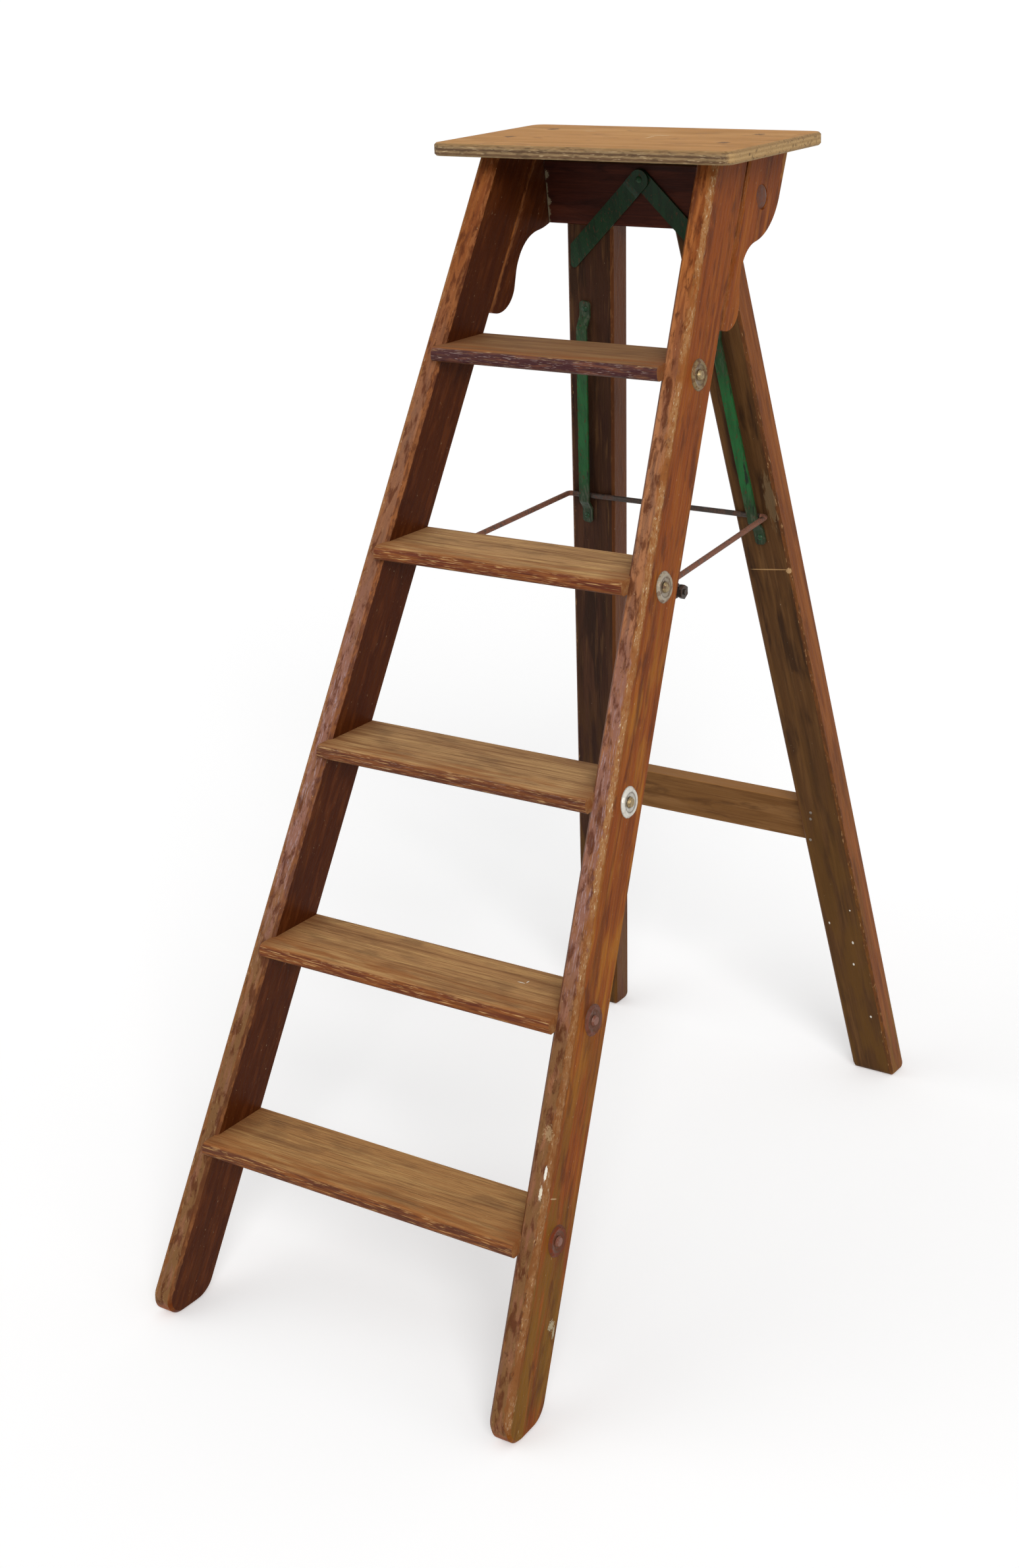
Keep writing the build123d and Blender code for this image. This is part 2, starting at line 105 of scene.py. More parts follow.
# ------------------------------------------------------------------ studio
FLOOR_SIZE = 40.0
KEY_FROM, KEY_WIDTH = (2.2, -2.6, 1.9), 30  # direction and apparent width in degrees
FILL_FROM, FILL_WIDTH = (-2.6, -2.2, 1.8), 60
CAMERA_LENS, CAMERA_SENSOR = 52.455, 36.0  # mm
CAMERA_SHIFT = (-0.010055, -0.001416)
CAMERA_REACH = 80.0
CAMERA_FROM_PIVOT = Vector((1.5560, -2.62865, 0.3599))
CAMERA_TURN = (34.034, 21.096, -2.115)  # to the left, downwards and about its own axis, degrees


def cad_points(name):
    """Corners of a CAD node's mesh, in metres."""
    return [vertex.co.copy() for vertex in frame["nodes"][name].data.vertices]


def on_leg(point):
    """The point as (across, behind the pivot, up the leg)."""
    offset = point - PIVOT
    return Vector((point.x, offset.dot(LEG_BACK), offset.dot(LEG_UP)))


def from_leg(across, behind, up):
    """The point that on_leg gives as (across, behind, up)."""
    spot = PIVOT + LEG_BACK * behind + LEG_UP * up
    return Vector((across, spot.y, spot.z))


# ------------------------------------------------------------------ shader helpers
def linear(code):
    """A #RRGGBB screen colour as linear RGBA."""
    values = [int(code[i:i + 2], 16) / 255 for i in (1, 3, 5)]
    return [v / 12.92 if v <= 0.04045 else ((v + 0.055) / 1.055) ** 2.4 for v in values] + [1.0]


def add(tree, kind, inputs=None, stops=None, **settings):
    """Adds a shader node with its settings. An input takes a value, a hex colour, a socket, or
    a node, which stands for its first output. A ramp's stops are (place, hex colour or grey)."""
    node = tree.nodes.new(kind)
    for key, value in settings.items():
        setattr(node, key, value)
    if stops:
        ramp = node.color_ramp
        while len(ramp.elements) < len(stops):
            ramp.elements.new(1.0)
        for element, (place, value) in zip(ramp.elements, stops):
            element.position = place
            element.color = linear(value) if isinstance(value, str) else (value, value, value, 1)
    for key, value in (inputs or {}).items():
        if isinstance(value, bpy.types.Node):
            value = next(socket for socket in value.outputs if socket.enabled)
        if isinstance(value, bpy.types.NodeSocket):
            tree.links.new(value, node.inputs[key])
        else:
            node.inputs[key].default_value = linear(value) if isinstance(value, str) else value
    return node


def new_material(name):
    material = bpy.data.materials.new(name)
    material.use_nodes = True
    material.node_tree.nodes.clear()
    return material, material.node_tree


def coats(tree, ground, *layers):
    """Lays colours over the ground, each as (colour, cover, masks); the masks thin the cover."""
    for colour, cover, *masks in layers:
        for mask in masks:
            cover = add(tree, "ShaderNodeMath", {0: mask, 1: cover}, operation="MULTIPLY",
                        use_clamp=True)
        ground = add(tree, "ShaderNodeMixRGB", {"Fac": cover, "Color1": ground, "Color2": colour})
    return ground


def finish(tree, colour, dull, shiny=0.4, matt=0.75, relief=None, depth=0.4, **constants):
    """Closes a material: roughness runs from shiny to matt as dull goes from 0 to 1, and the
    relief stands depth mm high. The constants are the shader's own inputs, as in metallic=1."""
    rough = add(tree, "ShaderNodeMapRange", {"Value": dull, "To Min": shiny, "To Max": matt})
    inputs = {"Base Color": colour, "Roughness": rough}
    for key, value in constants.items():
        inputs[key.replace("_", " ").title().replace("Ior", "IOR")] = value
    if relief:
        inputs["Normal"] = add(tree, "ShaderNodeBump", {
            "Height": relief, "Distance": depth * MM, "Strength": 1.0})
    shader = add(tree, "ShaderNodeBsdfPrincipled", inputs)
    add(tree, "ShaderNodeOutputMaterial", {"Surface": shader})


def seen_share(tree, unseen, seen):
    """A strength for what the camera, gloss and glass see, and another for all other light."""
    path = add(tree, "ShaderNodeLightPath").outputs
    looks = path["Is Camera Ray"]
    for key in ("Is Glossy Ray", "Is Transmission Ray"):
        looks = add(tree, "ShaderNodeMath", {0: looks, 1: path[key]}, operation="MAXIMUM")
    return add(tree, "ShaderNodeMapRange", {"Value": looks, "To Min": unseen, "To Max": seen})


class Stock:
    """A length of timber or iron on its own axes and in millimetres from its lowest corner: X and
    Y across it and Z along the grain, once it is turned by tilt about X and by turn about Y. With
    no node it is the ladder's own axes. Its zones count from a point start mm below it, and each
    mask that holds noise takes the next seed."""

    def __init__(self, tree, node=None, tilt=0.0, turn=0.0, seed=0.0, start=0.0):
        self.tree = tree
        self.seed = seed
        self.start = start
        turned = Euler((tilt, turn, 0)).to_matrix()
        points = [turned @ point for point in cad_points(node)] if node else [Vector((0, 0, 0))]
        low = Vector([min(point[i] for point in points) for i in range(3)])
        high = Vector([max(point[i] for point in points) for i in range(3)])
        self.size = (high - low) / MM
        seen = add(tree, "ShaderNodeTexCoord")
        place, facing = [
            add(tree, "ShaderNodeVectorRotate", {"Vector": seen.outputs[key],
                                                 "Rotation": (tilt, turn, 0)},
                rotation_type="EULER_XYZ") for key in ("Object", "Normal")]
        moved = add(tree, "ShaderNodeVectorMath", {0: place, 1: low}, operation="SUBTRACT")
        self.place = add(tree, "ShaderNodeVectorMath", {0: moved, "Scale": 1 / MM},
                         operation="SCALE")
        self.axes = add(tree, "ShaderNodeSeparateXYZ", {0: self.place}).outputs
        self.sides = add(tree, "ShaderNodeSeparateXYZ", {0: facing}).outputs

    def patches(self, width, length, low, high, detail=3.0, twist=0.0, octave=0.5):
        """Mask of ragged patches about width by length mm. Noise under low is 0 and over high 1."""
        shrunk = add(self.tree, "ShaderNodeVectorMath", {
            0: self.place, 1: (1 / width, 1 / width, 1 / length)}, operation="MULTIPLY")
        self.seed += SEED_STEP
        cloud = add(self.tree, "ShaderNodeTexNoise", {
            "Vector": shrunk, "W": self.seed, "Scale": 1.0, "Detail": detail, "Distortion": twist,
            "Roughness": octave}, noise_dimensions="4D")
        return add(self.tree, "ShaderNodeMapRange", {
            "Value": cloud, "From Min": low, "From Max": high}, interpolation_type="SMOOTHSTEP")

    def face(self, side, low=0.55, high=0.85):
        """Mask of what faces one side, such as "-y" for the front."""
        sign = -1.0 if side[0] == "-" else 1.0
        toward = add(self.tree, "ShaderNodeMath", {
            0: self.sides["xyz".index(side[1])], 1: sign}, operation="MULTIPLY")
        return add(self.tree, "ShaderNodeMapRange", {
            "Value": toward, "From Min": low, "From Max": high}, interpolation_type="SMOOTHSTEP")

    def depth(self, side):
        """Distance in mm from one side."""
        axis = "xyz".index(side[1])
        if side[0] == "-":
            return self.axes[axis]
        return add(self.tree, "ShaderNodeMath", {0: self.size[axis], 1: self.axes[axis]},
                   operation="SUBTRACT")

    def arris(self, one, other, reach, ragged, broken):
        """Mask of the band along the arris of two sides, about reach mm wide and made uneven by
        ragged mm where the mask broken is high or low. It fades out over twice soft mm."""
        soft = 1.2
        depth = add(self.tree, "ShaderNodeMath", {
            0: self.depth(one), 1: self.depth(other)}, operation="ADD")
        depth = add(self.tree, "ShaderNodeMath", {
            0: broken, 1: ragged, 2: depth}, operation="MULTIPLY_ADD")
        return add(self.tree, "ShaderNodeMapRange", {
            "Value": depth, "From Min": reach + ragged * 0.5 + soft,
            "From Max": reach + ragged * 0.5 - soft})

    def zones(self, *stops):
        """Mask along the grain; each stop is (mm from the start of the zones, value). Stops past
        the far end, give or take a rounding, are left out."""
        whole = self.size[2] + self.start
        share = add(self.tree, "ShaderNodeMath", {
            0: self.axes[2], 1: 1 / whole, 2: self.start / whole}, operation="MULTIPLY_ADD")
        return add(self.tree, "ShaderNodeValToRGB", {"Fac": share},
                   stops=[(mm / whole, value) for mm, value in stops if mm <= whole * 1.0001])

    def mark(self, place, width, length, ragged=0.6):
        """Mask of one small ragged mark, about width by length mm."""
        bite = 0.16  # size of the nicks in its outline, as a share of the mark
        offset = add(self.tree, "ShaderNodeVectorMath", {
            0: self.place, 1: place}, operation="SUBTRACT")
        shrunk = add(self.tree, "ShaderNodeVectorMath", {
            0: offset, 1: (2 / width, 2 / width, 2 / length)}, operation="MULTIPLY")
        away = add(self.tree, "ShaderNodeVectorMath", {
            0: shrunk}, operation="LENGTH").outputs["Value"]
        edge = self.patches(width * bite, length * bite, 0.3, 0.7, 4.0)
        away = add(self.tree, "ShaderNodeMath", {0: edge, 1: ragged, 2: away},
                   operation="MULTIPLY_ADD")
        return add(self.tree, "ShaderNodeMapRange", {
            "Value": away, "From Min": 1.1 + ragged * 0.5, "From Max": 0.9 + ragged * 0.5})

    def grain(self, dark, middle, light, across=7.0):
        """Straight-grained softwood: slow bands of tone, fine streaks and short dark pores."""
        ground = coats(
            self.tree, middle,
            (dark, 0.7, self.patches(across * 2, 240, 0.46, 0.66, 4.0, 0.5)),
            (light, 0.7, self.patches(across * 1.4, 170, 0.46, 0.66, 4.0, 0.5)),
            (dark, 0.4, self.patches(across * 0.32, 110, 0.5, 0.66, 3.0)),
            (light, 0.3, self.patches(across * 0.25, 70, 0.54, 0.68, 3.0)))
        return coats(self.tree, ground, (dark, 0.5, self.patches(0.8, 16, 0.58, 0.7, 3.0)))


# ------------------------------------------------------------------ timber
def extra_marks(stock, marks):
    """The layers of a table of marks, for coats."""
    return [(colour, cover, stock.mark(place, width, length, ragged))
            for colour, cover, place, width, length, ragged in marks]


def front_strip(stock, reach):
    """Mask of a soft strip about reach mm deep along the front."""
    return add(stock.tree, "ShaderNodeMapRange", {
        "Value": stock.depth("-y"), "From Min": reach * 1.3, "From Max": reach * 0.6})


def varnished_stile(name, node, side, ochre=0.6, wear=1.0, start=0.0, inner_band=False, extra=()):
    """Pine under brushed red-brown varnish, worn by hands and boots: warm brown sides with
    golden and dark patches, mottled fronts with old mauve paint showing at mid height and pale
    streaks on it painted as gloss highlights, inner faces darkened partly by darker varnish and
    partly as painted shade between the stiles, and one broad broken pale band along the front
    outer arris where the timber is bare. The cheeks are the same timber, with a pale band along
    their back edge."""
    material, tree = new_material(name)
    stock = Stock(tree, node, RAKE, side * STILE_SPLAY, side * 5.0, start)
    outer, inner = ("+x", "-x") if side > 0 else ("-x", "+x")
    front, inside, outside = stock.face("-y"), stock.face(inner), stock.face(outer)
    chatter = stock.patches(4, 14, 0.3, 0.7, 5.0, 0.4, 0.6)
    tone = coats(
        tree, stock.grain("#642E0E", bpy.context.scene.ladder.varnish[:], "#9E5A1C"),
        ("#6E5216", 0.7, outside, stock.patches(20, 120, 0.4, 0.58, 4.0, 0.5),
         stock.zones((0, 1), (250, 0.9), (700, 0))),
        ("#A86E22", 0.55, outside, stock.patches(16, 90, 0.48, 0.64, 4.0, 0.5),
         stock.zones((300, 0), (520, 1), (900, 0.8), (1200, 0))),
        ("#52260F", 0.65, stock.patches(15, 60, 0.5, 0.66, 5.0, 0.8)),
        ("#5C2E16", (0.9 - ochre) * wear, front),
        ("#B67038", ochre, front, stock.patches(8, 70, 0.42, 0.6, 5.0, 0.4),
         stock.zones((760, 0), (900, 1), (1500, 1))),
        ("#A88E78", 0.24, front, stock.zones((0, 1), (1200, 1), (1420, 0.15))),
        ("#8A6052", 0.8, front, stock.patches(11, 44, 0.38, 0.54, 5.0, 0.3),
         stock.zones((420, 0), (560, 1), (900, 1), (1020, 0))),
        # pale streaks on the mauve paint: painted highlights of its gloss
        ("#B09A9C", 0.5, front, stock.patches(1.3, 14, 0.54, 0.64, 4.0),
         stock.zones((440, 0), (600, 1), (820, 1), (980, 0))),
        ("#72512F", 0.85, front, stock.patches(8, 40, 0.34, 0.54, 5.0),
         stock.zones((0, 1), (460, 0.9), (600, 0))),
        ("#4E2412", 0.75, front, stock.patches(9, 26, 0.48, 0.62, 5.0, 0.4, 0.6)),
        ("#2E1610", 0.5, front, stock.patches(4, 5, 0.58, 0.68, 4.0, 0.8, 0.65)),
        ("#BE9A70", 0.6, front, stock.patches(1.2, 12, 0.62, 0.7, 4.0),
         stock.zones((0, 1), (500, 0.7), (1500, 0.5))),
        ("#34190C", 0.5, stock.patches(2.2, 6, 0.66, 0.73, 4.0, 0.3, 0.6)),
        # dark inner faces: partly darker varnish, partly painted shade between the stiles
        ("#3C190A", 0.88, inside), ("#743E1C", 0.3, inside, stock.patches(8, 50, 0.5, 0.66, 4.0)),
        ("#A8784C", 0.45, inside, stock.patches(0.9, 9, 0.68, 0.73)))
    rubbed = stock.arris("-y", outer, 6.5, 8.0, chatter)
    bare = stock.arris("-y", outer, 5.0, 9.0, stock.patches(3.0, 9, 0.25, 0.75, 5.0, 0.3, 0.7))
    often = stock.patches(30, 60, 0.36, 0.5, 4.0)
    others = [stock.arris(*pair, 3.0, 7.0, chatter)
              for pair in (("-y", inner), ("+y", outer), ("+y", inner))]
    tone = coats(
        tree, tone,
        ("#8C562C", 0.75 * wear, rubbed), ("#A0744A", 0.8 * wear, bare, often),
        ("#D6C2A2", 0.85 * wear, bare, often, stock.patches(1.8, 6, 0.55, 0.65, 5.0, 0.2, 0.7)),
        ("#6E4226", 0.6 * wear, bare, stock.patches(2.2, 6, 0.56, 0.66, 4.0, 0.0, 0.65)),
        ("#6E4426", 0.5, rubbed, stock.zones((0, 1), (420, 0.9), (700, 0))),
        *[("#8E5A34", 0.5, band) for band in others])
    if inner_band:
        tone = coats(tree, tone, (
            "#9A5E34", 0.55, stock.arris("-y", inner, 4.0, 5.0, chatter), often,
            stock.zones((700, 0), (1000, 1), (1590, 1))))
    if start:
        tone = coats(tree, tone, ("#B07A34", 0.55, stock.arris("+y", outer, 8.0, 16.0, often)))
    tone = coats(
        tree, tone, ("#D2B890", 0.8, stock.patches(1.4, 6, 0.71, 0.75)),
        ("#24120A", 0.5, stock.patches(1.3, 4, 0.71, 0.76)), *extra_marks(stock, extra))
    finish(tree, tone, rubbed, 0.4, 0.75, chatter, 0.3, ior=COAT_IOR, specular_ior_level=0.04)
    return material


def worn_tread(name, node, seed, top, rubbed, paint, gloss, extra=()):
    """Softwood tread: trodden matt and pale on top with the late wood standing in dark lines, and
    a nosing that keeps its old varnish in streaks, with pale streaks painted on it as highlights,
    the more the glossier it is."""
    material, tree = new_material(name)
    stock = Stock(tree, node, 0, ACROSS, seed)
    above, nose = stock.face("+x", 0.45, 0.9), stock.face("-y", 0.35, 0.75)
    scour = stock.patches(3, 20, 0.3, 0.7, 5.0, 0.4, 0.6)
    ends = stock.zones((4, 1), (44, 0), (stock.size[2] - 44, 0), (stock.size[2] - 4, 1))
    tone = coats(
        tree, stock.grain("#7A5030", top, rubbed, 5.0),
        ("#6A4426", 0.5, stock.patches(1.8, 60, 0.57, 0.66, 3.0)),
        ("#6E4E34", 0.45, stock.patches(24, 60, 0.5, 0.7, 4.0)),
        ("#96582A", 0.6, stock.patches(10, 90, 0.4, 0.6, 4.0), front_strip(stock, 34)),
        ("#7A4420", 0.6, ends),
        ("#DCC49C", 0.6, stock.patches(1.2, 5, 0.72, 0.76)))
    face = coats(
        tree, paint,
        ("#8A5228", 0.9 - gloss, stock.patches(4, 60, 0.42, 0.6, 4.0)),
        ("#74422C", gloss * 0.7, stock.patches(5, 40, 0.5, 0.62, 4.0)),
        ("#3C1A12", 0.5, stock.patches(1.1, 50, 0.5, 0.64, 4.0)),
        (rubbed, 0.75 - gloss * 0.65, stock.patches(1.2, 26, 0.56, 0.66, 3.0)),
        # pale streaks that grow with the gloss: painted highlights on the nosing
        ("#BCA59A", gloss * 0.75, stock.patches(0.7, 15, 0.6, 0.66, 4.0)))
    lip = stock.arris("-y", "+x", 2.2, 6.0, scour)
    tone = coats(tree, tone, (face, 1.0, nose), ("#4E2A14", 0.85, stock.face("-x")),
                 (rubbed, 0.6, lip), ("#D2B282", 0.6, lip, stock.patches(1.6, 8, 0.54, 0.64, 4.0)),
                 *extra_marks(stock, extra))
    dull = add(tree, "ShaderNodeMath", {0: 1.0, 1: nose}, operation="SUBTRACT")
    finish(tree, tone, dull, 0.62 - gloss * 0.35, 0.78, scour, 0.4, ior=COAT_IOR,
           specular_ior_level=0.09 + gloss * 0.12)
    return material


def varnished_leg(name, node, side, tones, extra=()):
    """Pine legs, dark thick varnish on the front, darkened further there as painted shade, with
    black-green stains and rubbed streaks, thinner orange varnish outside, and a dirty line with
    pale chips along the arris."""
    material, tree = new_material(name)
    stock = Stock(tree, node, -LEAN, side * LEG_SPLAY, side * 9.0)
    outer, inner = ("+x", "-x") if side > 0 else ("-x", "+x")
    front = stock.face("-y")
    chatter = stock.patches(4, 16, 0.3, 0.7, 5.0, 0.4, 0.6)
    top = stock.size[2]
    # the front's dark tone: thick varnish and painted shade
    dark = coats(
        tree, stock.grain(*tones, 9.0),
        ("#24150D", 0.75, stock.patches(18, 110, 0.48, 0.64, 5.0, 0.6),
         stock.zones((300, 0.4), (800, 1), (top, 1))),
        ("#6A4A2C", 0.5, stock.patches(7, 90, 0.52, 0.66, 4.0),
         stock.zones((500, 0), (800, 1), (1150, 0.8))),
        ("#5C3E18", 0.7, stock.patches(16, 100, 0.4, 0.58, 4.0),
         stock.zones((0, 1), (380, 0.8), (620, 0.1))))
    light = coats(
        tree, stock.grain("#663414", "#7C451C", "#925624"),
        ("#765418", 0.6, stock.patches(12, 130, 0.42, 0.6, 4.0),
         stock.zones((0, 1), (300, 0.6), (600, 0))),
        ("#522810", 0.5, stock.patches(14, 80, 0.52, 0.66, 4.0)))
    edge = stock.arris("-y", outer, 4.0, 5.0, chatter)
    tone = coats(
        tree, light, (dark, 1.0, front), ("#42220E", 0.55, stock.face(inner)),
        ("#4E2E18", 0.75, edge), ("#B88E60", 0.7, edge, stock.patches(1.6, 9, 0.6, 0.68, 4.0)),
        ("#7E5430", 0.5, stock.arris("-y", inner, 2.5, 6.0, chatter)),
        ("#7E5430", 0.5, stock.arris("+y", outer, 2.5, 6.0, chatter)),
        ("#C8B69A", 0.8, stock.patches(1.3, 3.5, 0.74, 0.77)), *extra_marks(stock, extra))
    finish(tree, tone, front, 0.45, 0.55, chatter, 0.3, ior=COAT_IOR, specular_ior_level=0.08)
    return material


def varnished_board(name, node, tones, stain, lit_top, filler=0.0, extra=()):
    """Cross boards of the rear frame under brushed varnish, the top board's dark tones partly
    painted shade under the platform, with a lighter top edge that is a painted highlight of the
    light from above."""
    material, tree = new_material(name)
    stock = Stock(tree, node, -LEAN, ACROSS, 2.0)
    chatter = stock.patches(7, 30, 0.3, 0.7, 5.0, 0.6)
    tone = coats(
        tree, stock.grain(*tones), (stain, 0.6, stock.patches(16, 60, 0.5, 0.68, 4.0, 0.8)),
        # top edge painted lighter: painted highlight of the light from above
        (lit_top, 0.8, stock.face("+x")),
        (tones[2], 0.6, stock.arris("-y", "-x", 2.5, 6.0, chatter)),
        ("#857A60", filler, stock.arris("-y", "+z", 2.5, 5.0, chatter)), *extra_marks(stock, extra))
    finish(tree, tone, chatter, 0.45, 0.6, chatter, 0.3, ior=COAT_IOR, specular_ior_level=0.08)
    return material


def plywood():
    """Sanded seven-ply softwood gone ochre under old oil: long face grain on top with pale
    scratches and a dark spot over each screw, and sawn edges that show light and dark plies,
    frayed and dirty, with painted light on the right end and painted shade on the front edge."""
    material, tree = new_material("Oiled_plywood")
    stock = Stock(tree, "platform", 0, ACROSS, 31.0)
    wide, _, long = stock.size
    screws = ((96.5, 61), (197.5, 64))  # mm behind the front edge, mm from either end
    above, below = stock.face("+x", 0.7, 0.9), stock.face("-x", 0.7, 0.9)
    face = coats(
        tree, stock.grain("#AA7638", bpy.context.scene.ladder.plywood[:], "#C8965A", 16.0),
        ("#8E6030", 0.55, stock.patches(28, 60, 0.54, 0.7, 5.0, 1.0)),
        ("#D8B98C", 0.7, stock.patches(0.9, 26, 0.68, 0.73), stock.patches(40, 60, 0.5, 0.6)),
        *[("#5E4026", 0.75, stock.mark((wide, back, middle), 15, 15, 0.8))
          for back, inset in screws for middle in (inset, long - inset)],
        *extra_marks(stock, (("#DCC49C", 0.7, (wide, 135, long - 250), 26, 3, 0.9),
                             ("#DCC49C", 0.7, (wide, 158, long - 250), 4, 34, 0.9),
                             ("#DCC49C", 0.6, (wide, 186, long - 128), 3, 22, 0.9))))
    uneven = 1.1  # mm by which the sawn edge blurs the plies
    frayed = stock.patches(1.6, 14, 0.3, 0.7, 4.0)
    part = add(tree, "ShaderNodeMath", {0: frayed, 1: uneven, 2: stock.axes[0]},
               operation="MULTIPLY_ADD")
    part = add(tree, "ShaderNodeMath", {0: part, 1: wide + uneven}, operation="DIVIDE")
    plies = add(tree, "ShaderNodeValToRGB", {"Fac": part}, stops=[
        (0.0, "#8A7050"), (0.13, "#9E845E"), (0.18, "#6A503A"), (0.30, "#765A40"),
        (0.34, "#A68C66"), (0.46, "#9A7E5A"), (0.50, "#5E4834"), (0.62, "#705640"),
        (0.66, "#A68C66"), (0.79, "#A0845E"), (0.83, "#68503A"), (0.90, "#8E7048"),
        (1.0, "#B8935F")])
    edge = coats(tree, plies,
                 # right end painted lighter and front edge painted darker: painted light and shade
                 ("#C8A26C", 0.55, stock.face("-z")), ("#54402E", 0.35, stock.face("-y")),
                 ("#4A382A", 0.6, stock.patches(5, 18, 0.54, 0.66, 5.0)),
                 ("#CDB48C", 0.5, stock.patches(1.4, 12, 0.58, 0.68)))
    rim = [stock.arris("+x", side, 3.4, 5.0, frayed) for side in ("-y", "+y", "-z", "+z")]
    tone = coats(tree, edge, (face, 1.0, above), ("#7C5E3C", 1.0, below),
                 *[("#9A7A54", 0.7, band) for band in rim])
    finish(tree, tone, above, 0.7, 0.6, frayed, 0.4, ior=COAT_IOR, specular_ior_level=0.1)
    return material


# ------------------------------------------------------------------ iron
def green_enamel(name, node, tones, stain, grime=()):
    """Brush-painted enamel on flat iron bar: half-gloss green with oily black stains, greyed with
    grime at its ends and chipped at its edges to brown rust."""
    material, tree = new_material(name)
    stock = Stock(tree, node, -LEAN, 0, 3.0)
    oily = stock.patches(5, 44, 0.57, 0.66, 5.0, 0.6)
    chips = stock.patches(3.0, 6.0, 0.3, 0.7, 5.0)
    edges = add(tree, "ShaderNodeBevel", {"Radius": 1.6 * MM}, samples=6)
    plain = add(tree, "ShaderNodeNewGeometry").outputs["Normal"]
    same = add(tree, "ShaderNodeVectorMath", {0: edges, 1: plain},
               operation="DOT_PRODUCT").outputs["Value"]
    worn = add(tree, "ShaderNodeMath", {0: chips, 1: same}, operation="SUBTRACT")
    worn = add(tree, "ShaderNodeMapRange", {"Value": worn, "From Min": -0.2, "From Max": 0.0})
    tone = coats(tree, tones[0], (tones[1], 0.9, stock.patches(8, 40, 0.42, 0.6, 4.0)))
    if grime:
        tone = coats(tree, tone, ("#23281A", 0.85, stock.zones(*grime)),
                     ("#5A5C4C", 0.4, stock.zones(*grime), stock.patches(4, 14, 0.5, 0.62, 4.0)))
    tone = coats(tree, tone, ("#10160E", stain, oily), ("#4A3222", 0.7, worn),
                 ("#4E3222", 0.8, stock.patches(4, 9, 0.67, 0.71)))
    finish(tree, tone, worn, 0.4, 0.8, chips, 0.12, ior=COAT_IOR, specular_ior_level=0.2)
    return material


def old_iron(name, clean, rust, amount, metallic, rough, seed, low_paint=None):
    """Drawn iron gone brown: thin rust over a dull metal that still shines where it is rubbed,
    and, where low_paint is given, the stile's paint over it near the floor."""
    material, tree = new_material(name)
    stock = Stock(tree, seed=seed)
    rusted = stock.patches(6, 9, 0.72 - amount * 0.5, 0.86 - amount * 0.5, 4.0, 0.6)
    pits = stock.patches(1.6, 2.4, 0.35, 0.65, 3.0)
    shine = add(tree, "ShaderNodeMapRange", {"Value": rusted, "To Min": metallic, "To Max": 0.0})
    tone = coats(tree, clean, (rust, 1.0, rusted), ("#2E1C14", 0.4, pits))
    if low_paint:
        painted = add(tree, "ShaderNodeMapRange", {
            "Value": stock.axes[2], "From Min": PAINT_GONE, "From Max": PAINT_FULL})
        tone = coats(tree, tone, (low_paint, 0.9, painted))
        shine = add(tree, "ShaderNodeMath", {0: shine, 1: painted}, operation="SUBTRACT",
                    use_clamp=True)
    finish(tree, tone, rusted, rough, 0.8, pits, 0.1, metallic=shine)
    return material


def cup_metal():
    """Pressed steel cups, each pair worn differently: dull plate at the top, bright and scoured
    at mid height, rusted and painted over with the stile's varnish towards the floor, all with
    grime and painted shade lying in the dish."""
    material, tree = new_material("Pressed_steel_cups")
    stock = Stock(tree, "cup_washers", RAKE, 0, 21.0)
    radius = stock.size[1] / 2
    pitch = (stock.size[2] - 2 * radius) / CUP_PITCHES
    up = add(tree, "ShaderNodeMath", {0: stock.axes[2], 1: radius}, operation="SUBTRACT")
    share = add(tree, "ShaderNodeMath", {0: up, 1: CUP_PITCHES * pitch}, operation="DIVIDE")
    up = add(tree, "ShaderNodeMath", {0: up, 1: pitch / 2}, operation="PINGPONG")
    back = add(tree, "ShaderNodeMath", {0: stock.axes[1], 1: radius}, operation="SUBTRACT")
    flat = add(tree, "ShaderNodeCombineXYZ", {"X": up, "Y": back})
    away = add(tree, "ShaderNodeVectorMath", {0: flat}, operation="LENGTH").outputs["Value"]
    rusted = stock.patches(5, 5, 0.46, 0.62, 4.0, 0.5)
    rim = add(tree, "ShaderNodeValToRGB", {"Fac": share}, stops=[
        (0.0, "#6E3018"), (0.2, "#6E341E"), (0.28, "#6E4A40"), (0.44, "#D6D2C8"), (0.6, "#D6D2C8"),
        (0.68, "#A89C8A"), (0.86, "#9A8C76"), (0.94, "#85704F"), (1.0, "#85704F")])
    cover = add(tree, "ShaderNodeValToRGB", {"Fac": share}, stops=[
        (0.0, 0.9), (0.3, 0.85), (0.42, 0.1), (0.6, 0.1), (0.7, 0.55), (1.0, 0.75)])
    bare = add(tree, "ShaderNodeValToRGB", {"Fac": share}, stops=[
        (0.0, 0.0), (0.3, 0.0), (0.45, 0.95), (0.8, 0.85), (1.0, 0.7)])
    away = add(tree, "ShaderNodeMath", {0: away, 1: radius}, operation="DIVIDE")
    dirt_and_shade = add(tree, "ShaderNodeValToRGB", {"Fac": away}, stops=[
        (0.0, 0.9), (0.34, 0.95), (0.42, 0.4), (0.54, 0.35), (0.62, 0.9), (0.70, 0.15),
        (0.94, 0.0), (1.0, 0.7)])
    # grime and painted shade in the dish, at its wall and along its rim
    tone = coats(tree, rim, ("#4E4030", 0.85, dirt_and_shade), ("#5E3826", 0.85, rusted, cover))
    finish(tree, tone, rusted, 0.3, 0.6, rusted, 0.1, metallic=bare, specular_ior_level=0.08)
    return material


# ------------------------------------------------------------------ mesh helpers
def dress(name, material):
    """Gives a CAD node its one material."""
    mesh = frame["nodes"][name].data
    mesh.materials.clear()
    mesh.materials.append(material)


